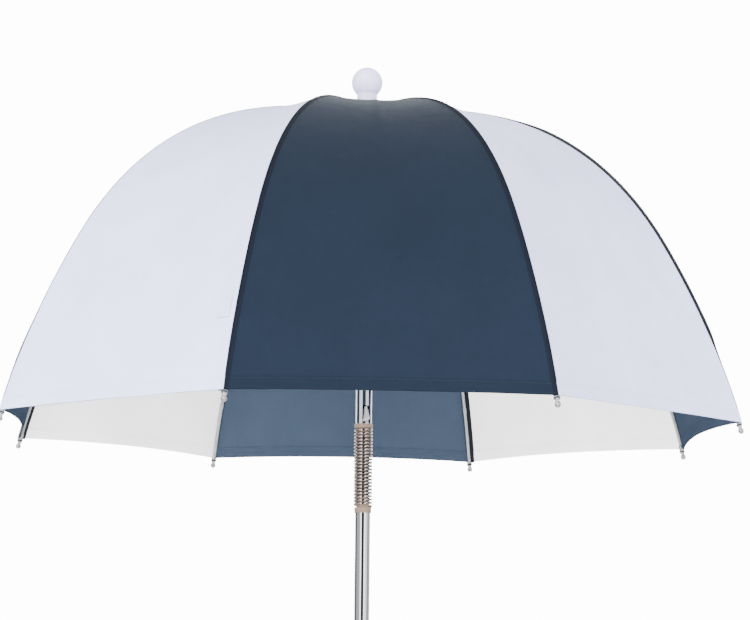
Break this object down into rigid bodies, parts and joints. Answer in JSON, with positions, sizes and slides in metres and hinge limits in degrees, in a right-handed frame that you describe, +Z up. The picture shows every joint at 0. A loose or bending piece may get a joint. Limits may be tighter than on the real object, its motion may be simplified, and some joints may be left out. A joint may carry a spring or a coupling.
{
  "type": "golf umbrella",
  "caption": "Open golf umbrella: a deep dome of alternating navy and white cloth panels on ribs and stretchers, a white ball cap and a chrome shaft with a coil flex spring.",
  "frame": {"origin": "middle of the underside of the butt cap, on the shaft's axis", "axes": "+Z up along the shaft to the ball cap; -Y is the side the front navy panel faces; +X is to the right of that view"},
  "size_m": [0.6528, 0.6528, 1.1989],
  "materials": {
    "cloth_navy": "matte woven polyester",
    "cloth_white": "matte woven polyester",
    "chrome_tube": "bright chrome plate",
    "collar_tan": "semi-gloss moulded",
    "spring_steel": "drawn wire",
    "steel_wire": "drawn wire",
    "fibreglass_grey": "semi-gloss pultruded rod",
    "stretcher_steel": "zinc plated",
    "nylon_white": "satin nylon",
    "cap_white": "semi-gloss moulded",
    "grip_foam": "matte grooved foam rubber",
    "grip_cap": "satin moulded"
  },
  "bodies": {
    "lower_shaft": {"lower_tube": "chrome_tube", "grip": "grip_foam", "butt_cap": "grip_cap", "lower_collar": "collar_tan"},
    "flex_coil": {"flex_spring": "spring_steel", "flex_cable": "spring_steel"},
    "upper_shaft": {"upper_tube": "chrome_tube", "upper_collar": "collar_tan", "top_notch": "nylon_white", "ball_cap": "cap_white", "crown_wire": "steel_wire"},
    "runner": {"runner": "nylon_white", "runner_wire": "steel_wire"},
    "top_catch": {"top_catch": "spring_steel"},
    "bottom_catch": {"bottom_catch": "spring_steel"},
    "rib_0_inner": {"rib_0_inner": "fibreglass_grey"},
    "rib_0_outer": {"rib_0_outer": "fibreglass_grey"},
    "stretcher_0": {"stretcher_0": "stretcher_steel"},
    "panel_0_upper": {"panel_0_upper": "cloth_navy"},
    "panel_0_lower": {"panel_0_lower": "cloth_navy"},
    "rib_1_inner": {"rib_1_inner": "fibreglass_grey"},
    "rib_1_outer": {"rib_1_outer": "fibreglass_grey"},
    "stretcher_1": {"stretcher_1": "stretcher_steel"},
    "panel_1_upper": {"panel_1_upper": "cloth_white"},
    "panel_1_lower": {"panel_1_lower": "cloth_white"},
    "rib_2_inner": {"rib_2_inner": "fibreglass_grey"},
    "rib_2_outer": {"rib_2_outer": "fibreglass_grey"},
    "stretcher_2": {"stretcher_2": "stretcher_steel"},
    "panel_2_upper": {"panel_2_upper": "cloth_navy"},
    "panel_2_lower": {"panel_2_lower": "cloth_navy"},
    "rib_3_inner": {"rib_3_inner": "fibreglass_grey"},
    "rib_3_outer": {"rib_3_outer": "fibreglass_grey"},
    "stretcher_3": {"stretcher_3": "stretcher_steel"},
    "panel_3_upper": {"panel_3_upper": "cloth_white"},
    "panel_3_lower": {"panel_3_lower": "cloth_white"},
    "rib_4_inner": {"rib_4_inner": "fibreglass_grey"},
    "rib_4_outer": {"rib_4_outer": "fibreglass_grey"},
    "stretcher_4": {"stretcher_4": "stretcher_steel"},
    "panel_4_upper": {"panel_4_upper": "cloth_navy"},
    "panel_4_lower": {"panel_4_lower": "cloth_navy"},
    "rib_5_inner": {"rib_5_inner": "fibreglass_grey"},
    "rib_5_outer": {"rib_5_outer": "fibreglass_grey"},
    "stretcher_5": {"stretcher_5": "stretcher_steel"},
    "panel_5_upper": {"panel_5_upper": "cloth_white"},
    "panel_5_lower": {"panel_5_lower": "cloth_white", "closing_strap": "cloth_white"},
    "rib_6_inner": {"rib_6_inner": "fibreglass_grey"},
    "rib_6_outer": {"rib_6_outer": "fibreglass_grey"},
    "stretcher_6": {"stretcher_6": "stretcher_steel"},
    "panel_6_upper": {"panel_6_upper": "cloth_navy"},
    "panel_6_lower": {"panel_6_lower": "cloth_navy"},
    "rib_7_inner": {"rib_7_inner": "fibreglass_grey"},
    "rib_7_outer": {"rib_7_outer": "fibreglass_grey"},
    "stretcher_7": {"stretcher_7": "stretcher_steel"},
    "panel_7_upper": {"panel_7_upper": "cloth_white"},
    "panel_7_lower": {"panel_7_lower": "cloth_white"}
  },
  "joints": [
    {"name": "flex_x", "type": "hinge", "parent": "lower_shaft", "child": "flex_coil", "pos_m": [0, 0, 0.8038], "axis": [1, 0, 0], "range_deg": [0, 40], "stiffness_Nm_per_rad": 10, "deforming": ["flex_spring", "flex_cable"]},
    {"name": "flex_y", "type": "hinge", "parent": "flex_coil", "child": "upper_shaft", "pos_m": [0, 0, 0.8404], "axis": [0, 1, 0], "range_deg": [0, 40], "stiffness_Nm_per_rad": 10},
    {"name": "runner_slide", "type": "slide", "parent": "upper_shaft", "child": "runner", "axis": [0, 0, 1], "range_m": [-0.16578, 0], "deforming": ["top_catch", "bottom_catch", "closing_strap", "panel_0_upper", "panel_0_lower", "panel_1_upper", "panel_1_lower", "panel_2_upper", "panel_2_lower", "panel_3_upper", "panel_3_lower", "panel_4_upper", "panel_4_lower", "panel_5_upper", "panel_5_lower", "panel_6_upper", "panel_6_lower", "panel_7_upper", "panel_7_lower"]},
    {"name": "top_catch_press", "type": "slide", "parent": "upper_shaft", "child": "top_catch", "axis": [-0.2079, 0.9781, 0], "range_m": [0, 0.0036], "stiffness_N_per_m": 400},
    {"name": "bottom_catch_press", "type": "slide", "parent": "upper_shaft", "child": "bottom_catch", "axis": [-0.2079, 0.9781, 0], "range_m": [0, 0.0036], "stiffness_N_per_m": 400},
    {"name": "rib_0_hinge", "type": "hinge", "parent": "upper_shaft", "child": "rib_0_inner", "pos_m": [0.00942, 0.0039, 1.151], "axis": [0.3827, -0.9239, 0], "range_deg": [-72.3, 0]},
    {"name": "rib_0_flex", "type": "hinge", "parent": "rib_0_inner", "child": "rib_0_outer", "pos_m": [0.17666, 0.07318, 1.11257], "axis": [0.3827, -0.9239, 0], "range_deg": [0, 45.6]},
    {"name": "stretcher_0_pivot", "type": "hinge", "parent": "rib_0_inner", "child": "stretcher_0", "pos_m": [0.11641, 0.04822, 1.13769], "axis": [0.3827, -0.9239, 0], "range_deg": [0, 123.61]},
    {"name": "panel_0_crown", "type": "hinge", "parent": "upper_shaft", "child": "panel_0_upper", "pos_m": [0.00918, 0, 1.15349], "axis": [0, -1, 0], "range_deg": [-71.37, 0]},
    {"name": "panel_0_fold", "type": "hinge", "parent": "panel_0_upper", "child": "panel_0_lower", "pos_m": [0.17792, 0, 1.11466], "axis": [0, -1, 0], "range_deg": [0, 46.38]},
    {"name": "rib_1_hinge", "type": "hinge", "parent": "upper_shaft", "child": "rib_1_inner", "pos_m": [0.0039, 0.00942, 1.151], "axis": [0.9239, -0.3827, 0], "range_deg": [-72.3, 0]},
    {"name": "rib_1_flex", "type": "hinge", "parent": "rib_1_inner", "child": "rib_1_outer", "pos_m": [0.07318, 0.17666, 1.11257], "axis": [0.9239, -0.3827, 0], "range_deg": [0, 45.6]},
    {"name": "stretcher_1_pivot", "type": "hinge", "parent": "rib_1_inner", "child": "stretcher_1", "pos_m": [0.04822, 0.11641, 1.13769], "axis": [0.9239, -0.3827, 0], "range_deg": [0, 123.61]},
    {"name": "panel_1_crown", "type": "hinge", "parent": "upper_shaft", "child": "panel_1_upper", "pos_m": [0.00649, 0.00649, 1.15349], "axis": [0.7071, -0.7071, 0], "range_deg": [-71.37, 0]},
    {"name": "panel_1_fold", "type": "hinge", "parent": "panel_1_upper", "child": "panel_1_lower", "pos_m": [0.12581, 0.12581, 1.11466], "axis": [0.7071, -0.7071, 0], "range_deg": [0, 46.38]},
    {"name": "rib_2_hinge", "type": "hinge", "parent": "upper_shaft", "child": "rib_2_inner", "pos_m": [-0.0039, 0.00942, 1.151], "axis": [0.9239, 0.3827, 0], "range_deg": [-72.3, 0]},
    {"name": "rib_2_flex", "type": "hinge", "parent": "rib_2_inner", "child": "rib_2_outer", "pos_m": [-0.07318, 0.17666, 1.11257], "axis": [0.9239, 0.3827, 0], "range_deg": [0, 45.6]},
    {"name": "stretcher_2_pivot", "type": "hinge", "parent": "rib_2_inner", "child": "stretcher_2", "pos_m": [-0.04822, 0.11641, 1.13769], "axis": [0.9239, 0.3827, 0], "range_deg": [0, 123.61]},
    {"name": "panel_2_crown", "type": "hinge", "parent": "upper_shaft", "child": "panel_2_upper", "pos_m": [0, 0.00918, 1.15349], "axis": [1, 0, 0], "range_deg": [-71.37, 0]},
    {"name": "panel_2_fold", "type": "hinge", "parent": "panel_2_upper", "child": "panel_2_lower", "pos_m": [0, 0.17792, 1.11466], "axis": [1, 0, 0], "range_deg": [0, 46.38]},
    {"name": "rib_3_hinge", "type": "hinge", "parent": "upper_shaft", "child": "rib_3_inner", "pos_m": [-0.00942, 0.0039, 1.151], "axis": [0.3827, 0.9239, 0], "range_deg": [-72.3, 0]},
    {"name": "rib_3_flex", "type": "hinge", "parent": "rib_3_inner", "child": "rib_3_outer", "pos_m": [-0.17666, 0.07318, 1.11257], "axis": [0.3827, 0.9239, 0], "range_deg": [0, 45.6]},
    {"name": "stretcher_3_pivot", "type": "hinge", "parent": "rib_3_inner", "child": "stretcher_3", "pos_m": [-0.11641, 0.04822, 1.13769], "axis": [0.3827, 0.9239, 0], "range_deg": [0, 123.61]},
    {"name": "panel_3_crown", "type": "hinge", "parent": "upper_shaft", "child": "panel_3_upper", "pos_m": [-0.00649, 0.00649, 1.15349], "axis": [0.7071, 0.7071, 0], "range_deg": [-71.37, 0]},
    {"name": "panel_3_fold", "type": "hinge", "parent": "panel_3_upper", "child": "panel_3_lower", "pos_m": [-0.12581, 0.12581, 1.11466], "axis": [0.7071, 0.7071, 0], "range_deg": [0, 46.38]},
    {"name": "rib_4_hinge", "type": "hinge", "parent": "upper_shaft", "child": "rib_4_inner", "pos_m": [-0.00942, -0.0039, 1.151], "axis": [-0.3827, 0.9239, 0], "range_deg": [-72.3, 0]},
    {"name": "rib_4_flex", "type": "hinge", "parent": "rib_4_inner", "child": "rib_4_outer", "pos_m": [-0.17666, -0.07318, 1.11257], "axis": [-0.3827, 0.9239, 0], "range_deg": [0, 45.6]},
    {"name": "stretcher_4_pivot", "type": "hinge", "parent": "rib_4_inner", "child": "stretcher_4", "pos_m": [-0.11641, -0.04822, 1.13769], "axis": [-0.3827, 0.9239, 0], "range_deg": [0, 123.61]},
    {"name": "panel_4_crown", "type": "hinge", "parent": "upper_shaft", "child": "panel_4_upper", "pos_m": [-0.00918, 0, 1.15349], "axis": [0, 1, 0], "range_deg": [-71.37, 0]},
    {"name": "panel_4_fold", "type": "hinge", "parent": "panel_4_upper", "child": "panel_4_lower", "pos_m": [-0.17792, 0, 1.11466], "axis": [0, 1, 0], "range_deg": [0, 46.38]},
    {"name": "rib_5_hinge", "type": "hinge", "parent": "upper_shaft", "child": "rib_5_inner", "pos_m": [-0.0039, -0.00942, 1.151], "axis": [-0.9239, 0.3827, 0], "range_deg": [-72.3, 0]},
    {"name": "rib_5_flex", "type": "hinge", "parent": "rib_5_inner", "child": "rib_5_outer", "pos_m": [-0.07318, -0.17666, 1.11257], "axis": [-0.9239, 0.3827, 0], "range_deg": [0, 45.6]},
    {"name": "stretcher_5_pivot", "type": "hinge", "parent": "rib_5_inner", "child": "stretcher_5", "pos_m": [-0.04822, -0.11641, 1.13769], "axis": [-0.9239, 0.3827, 0], "range_deg": [0, 123.61]},
    {"name": "panel_5_crown", "type": "hinge", "parent": "upper_shaft", "child": "panel_5_upper", "pos_m": [-0.00649, -0.00649, 1.15349], "axis": [-0.7071, 0.7071, 0], "range_deg": [-71.37, 0]},
    {"name": "panel_5_fold", "type": "hinge", "parent": "panel_5_upper", "child": "panel_5_lower", "pos_m": [-0.12581, -0.12581, 1.11466], "axis": [-0.7071, 0.7071, 0], "range_deg": [0, 46.38]},
    {"name": "rib_6_hinge", "type": "hinge", "parent": "upper_shaft", "child": "rib_6_inner", "pos_m": [0.0039, -0.00942, 1.151], "axis": [-0.9239, -0.3827, 0], "range_deg": [-72.3, 0]},
    {"name": "rib_6_flex", "type": "hinge", "parent": "rib_6_inner", "child": "rib_6_outer", "pos_m": [0.07318, -0.17666, 1.11257], "axis": [-0.9239, -0.3827, 0], "range_deg": [0, 45.6]},
    {"name": "stretcher_6_pivot", "type": "hinge", "parent": "rib_6_inner", "child": "stretcher_6", "pos_m": [0.04822, -0.11641, 1.13769], "axis": [-0.9239, -0.3827, 0], "range_deg": [0, 123.61]},
    {"name": "panel_6_crown", "type": "hinge", "parent": "upper_shaft", "child": "panel_6_upper", "pos_m": [0, -0.00918, 1.15349], "axis": [-1, 0, 0], "range_deg": [-71.37, 0]},
    {"name": "panel_6_fold", "type": "hinge", "parent": "panel_6_upper", "child": "panel_6_lower", "pos_m": [0, -0.17792, 1.11466], "axis": [-1, 0, 0], "range_deg": [0, 46.38]},
    {"name": "rib_7_hinge", "type": "hinge", "parent": "upper_shaft", "child": "rib_7_inner", "pos_m": [0.00942, -0.0039, 1.151], "axis": [-0.3827, -0.9239, 0], "range_deg": [-72.3, 0]},
    {"name": "rib_7_flex", "type": "hinge", "parent": "rib_7_inner", "child": "rib_7_outer", "pos_m": [0.17666, -0.07318, 1.11257], "axis": [-0.3827, -0.9239, 0], "range_deg": [0, 45.6]},
    {"name": "stretcher_7_pivot", "type": "hinge", "parent": "rib_7_inner", "child": "stretcher_7", "pos_m": [0.11641, -0.04822, 1.13769], "axis": [-0.3827, -0.9239, 0], "range_deg": [0, 123.61]},
    {"name": "panel_7_crown", "type": "hinge", "parent": "upper_shaft", "child": "panel_7_upper", "pos_m": [0.00649, -0.00649, 1.15349], "axis": [-0.7071, -0.7071, 0], "range_deg": [-71.37, 0]},
    {"name": "panel_7_fold", "type": "hinge", "parent": "panel_7_upper", "child": "panel_7_lower", "pos_m": [0.12581, -0.12581, 1.11466], "axis": [-0.7071, -0.7071, 0], "range_deg": [0, 46.38]}
  ],
  "couplings": [
    {"joint": "rib_0_hinge", "follows": "runner_slide", "rad_per_m": 7.6099},
    {"joint": "rib_0_flex", "follows": "runner_slide", "rad_per_m": -4.7989},
    {"joint": "stretcher_0_pivot", "follows": "runner_slide", "rad_per_m": -13.012},
    {"joint": "panel_0_crown", "follows": "runner_slide", "rad_per_m": 7.5115},
    {"joint": "panel_0_fold", "follows": "runner_slide", "rad_per_m": -4.8809},
    {"joint": "rib_1_hinge", "follows": "runner_slide", "rad_per_m": 7.6099},
    {"joint": "rib_1_flex", "follows": "runner_slide", "rad_per_m": -4.7989},
    {"joint": "stretcher_1_pivot", "follows": "runner_slide", "rad_per_m": -13.012},
    {"joint": "panel_1_crown", "follows": "runner_slide", "rad_per_m": 7.5115},
    {"joint": "panel_1_fold", "follows": "runner_slide", "rad_per_m": -4.8809},
    {"joint": "rib_2_hinge", "follows": "runner_slide", "rad_per_m": 7.6099},
    {"joint": "rib_2_flex", "follows": "runner_slide", "rad_per_m": -4.7989},
    {"joint": "stretcher_2_pivot", "follows": "runner_slide", "rad_per_m": -13.012},
    {"joint": "panel_2_crown", "follows": "runner_slide", "rad_per_m": 7.5115},
    {"joint": "panel_2_fold", "follows": "runner_slide", "rad_per_m": -4.8809},
    {"joint": "rib_3_hinge", "follows": "runner_slide", "rad_per_m": 7.6099},
    {"joint": "rib_3_flex", "follows": "runner_slide", "rad_per_m": -4.7989},
    {"joint": "stretcher_3_pivot", "follows": "runner_slide", "rad_per_m": -13.012},
    {"joint": "panel_3_crown", "follows": "runner_slide", "rad_per_m": 7.5115},
    {"joint": "panel_3_fold", "follows": "runner_slide", "rad_per_m": -4.8809},
    {"joint": "rib_4_hinge", "follows": "runner_slide", "rad_per_m": 7.6099},
    {"joint": "rib_4_flex", "follows": "runner_slide", "rad_per_m": -4.7989},
    {"joint": "stretcher_4_pivot", "follows": "runner_slide", "rad_per_m": -13.012},
    {"joint": "panel_4_crown", "follows": "runner_slide", "rad_per_m": 7.5115},
    {"joint": "panel_4_fold", "follows": "runner_slide", "rad_per_m": -4.8809},
    {"joint": "rib_5_hinge", "follows": "runner_slide", "rad_per_m": 7.6099},
    {"joint": "rib_5_flex", "follows": "runner_slide", "rad_per_m": -4.7989},
    {"joint": "stretcher_5_pivot", "follows": "runner_slide", "rad_per_m": -13.012},
    {"joint": "panel_5_crown", "follows": "runner_slide", "rad_per_m": 7.5115},
    {"joint": "panel_5_fold", "follows": "runner_slide", "rad_per_m": -4.8809},
    {"joint": "rib_6_hinge", "follows": "runner_slide", "rad_per_m": 7.6099},
    {"joint": "rib_6_flex", "follows": "runner_slide", "rad_per_m": -4.7989},
    {"joint": "stretcher_6_pivot", "follows": "runner_slide", "rad_per_m": -13.012},
    {"joint": "panel_6_crown", "follows": "runner_slide", "rad_per_m": 7.5115},
    {"joint": "panel_6_fold", "follows": "runner_slide", "rad_per_m": -4.8809},
    {"joint": "rib_7_hinge", "follows": "runner_slide", "rad_per_m": 7.6099},
    {"joint": "rib_7_flex", "follows": "runner_slide", "rad_per_m": -4.7989},
    {"joint": "stretcher_7_pivot", "follows": "runner_slide", "rad_per_m": -13.012},
    {"joint": "panel_7_crown", "follows": "runner_slide", "rad_per_m": 7.5115},
    {"joint": "panel_7_fold", "follows": "runner_slide", "rad_per_m": -4.8809}
  ]
}
